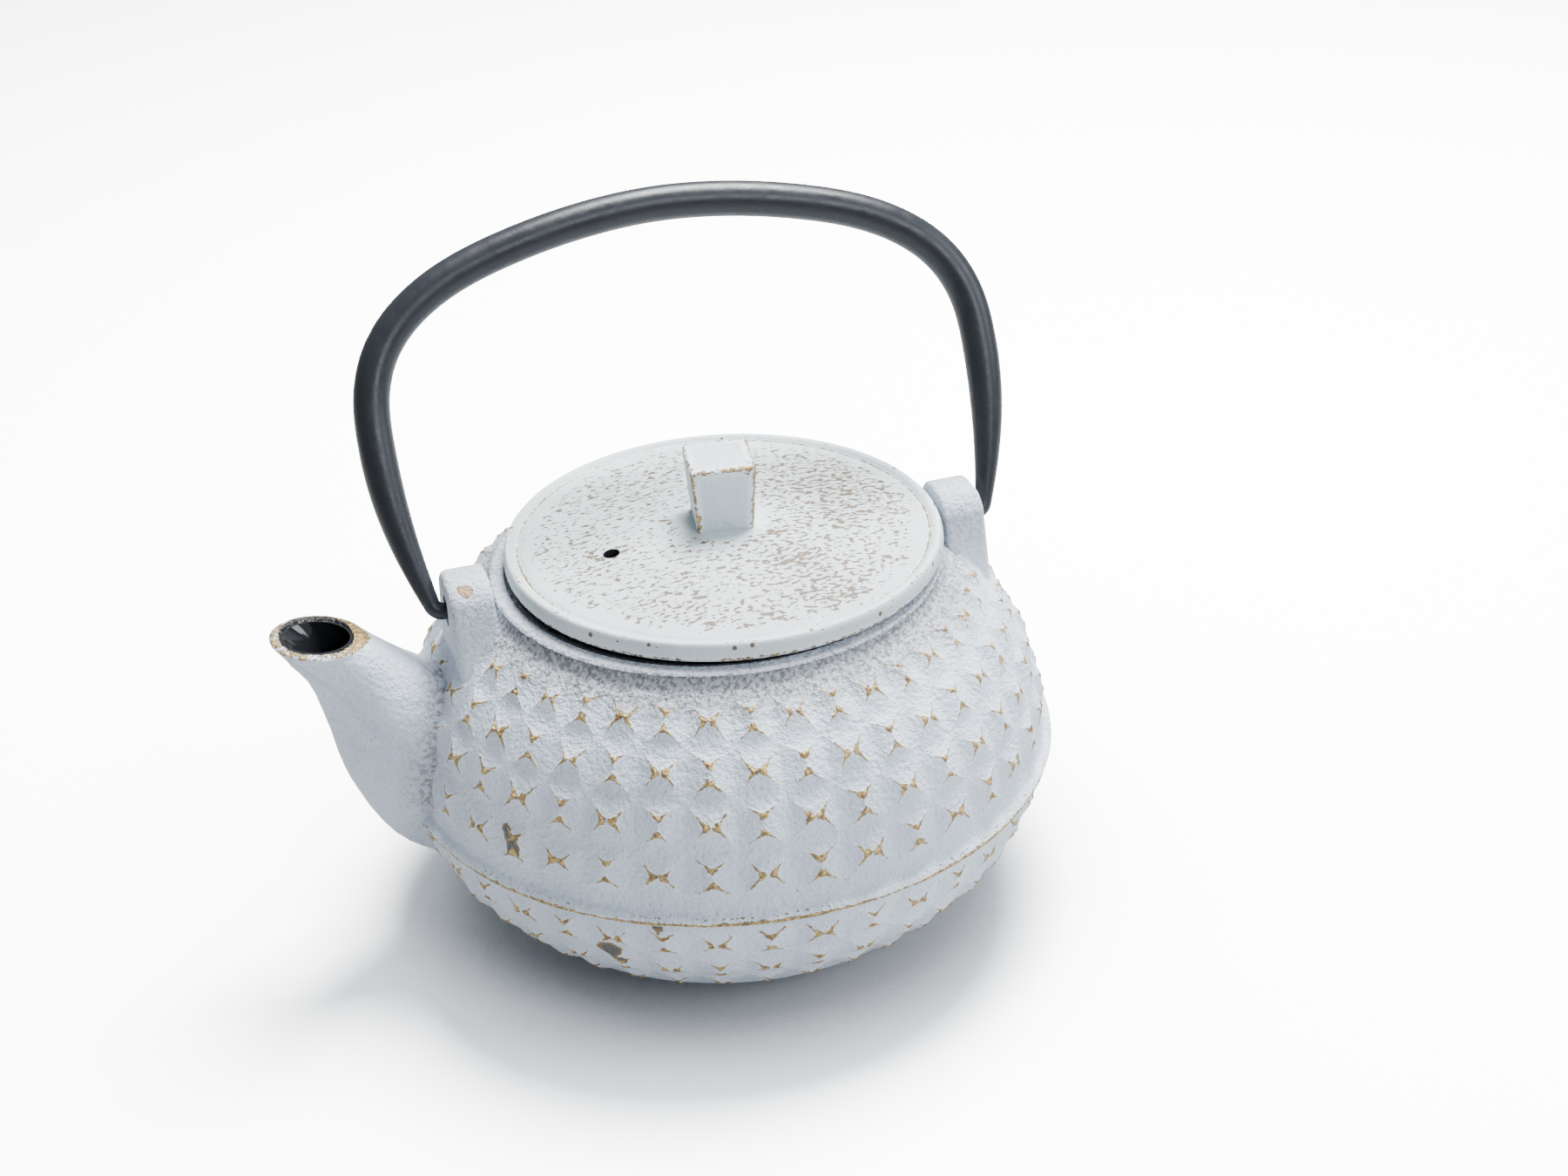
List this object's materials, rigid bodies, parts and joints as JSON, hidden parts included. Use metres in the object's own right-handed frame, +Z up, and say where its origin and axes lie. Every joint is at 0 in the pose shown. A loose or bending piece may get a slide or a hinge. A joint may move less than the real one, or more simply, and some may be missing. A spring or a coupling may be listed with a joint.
{
  "type": "cast iron teapot",
  "caption": "Round studded cast iron teapot with a curved spout, tilting bail handle, drop-in lid with a square knob and a hanging mesh tea basket.",
  "frame": {"origin": "centre of the flat base, on the table", "axes": "+Z up, +X along the spout, handle pivots along X"},
  "size_m": [0.1757, 0.151, 0.1595],
  "materials": {
    "painted_iron": "matte off-white paint over cast iron, rubbed to gold-brown on the stud tips and belt",
    "speckled_iron": "matte off-white paint with brown speckle, worn brown on the edges",
    "black_enamel": "gloss fired enamel",
    "black_bar": "satin black",
    "stainless": "brushed",
    "stainless_mesh": "woven mesh"
  },
  "bodies": {
    "pot": {"pot_base": "painted_iron", "pot_lower": "painted_iron", "pot_shoulder": "painted_iron", "pot_port": "painted_iron", "pot_rim": "painted_iron", "pot_enamel": "black_enamel", "pot_spout": "painted_iron", "spout_enamel": "black_enamel", "ear_front": "painted_iron", "ear_rear": "painted_iron"},
    "infuser": {"infuser_rim": "stainless", "infuser_wall": "stainless_mesh", "infuser_hoop": "stainless", "infuser_floor": "stainless_mesh"},
    "lid": {"lid_plate": "speckled_iron", "lid_knob": "speckled_iron", "lid_enamel": "black_enamel"},
    "bail": {"bail": "black_bar"}
  },
  "joints": [
    {"name": "bail_swing", "type": "hinge", "parent": "pot", "child": "bail", "pos_m": [0, 0, 0.084], "axis": [1, 0, 0], "range_deg": [-132.5, 77.5]},
    {"name": "infuser_lift", "type": "slide", "parent": "pot", "child": "infuser", "axis": [0, 0, 1], "range_m": [0, 0.022]},
    {"name": "lid_lift", "type": "slide", "parent": "infuser", "child": "lid", "axis": [0, 0, 1], "range_m": [0, 0.026]}
  ]
}
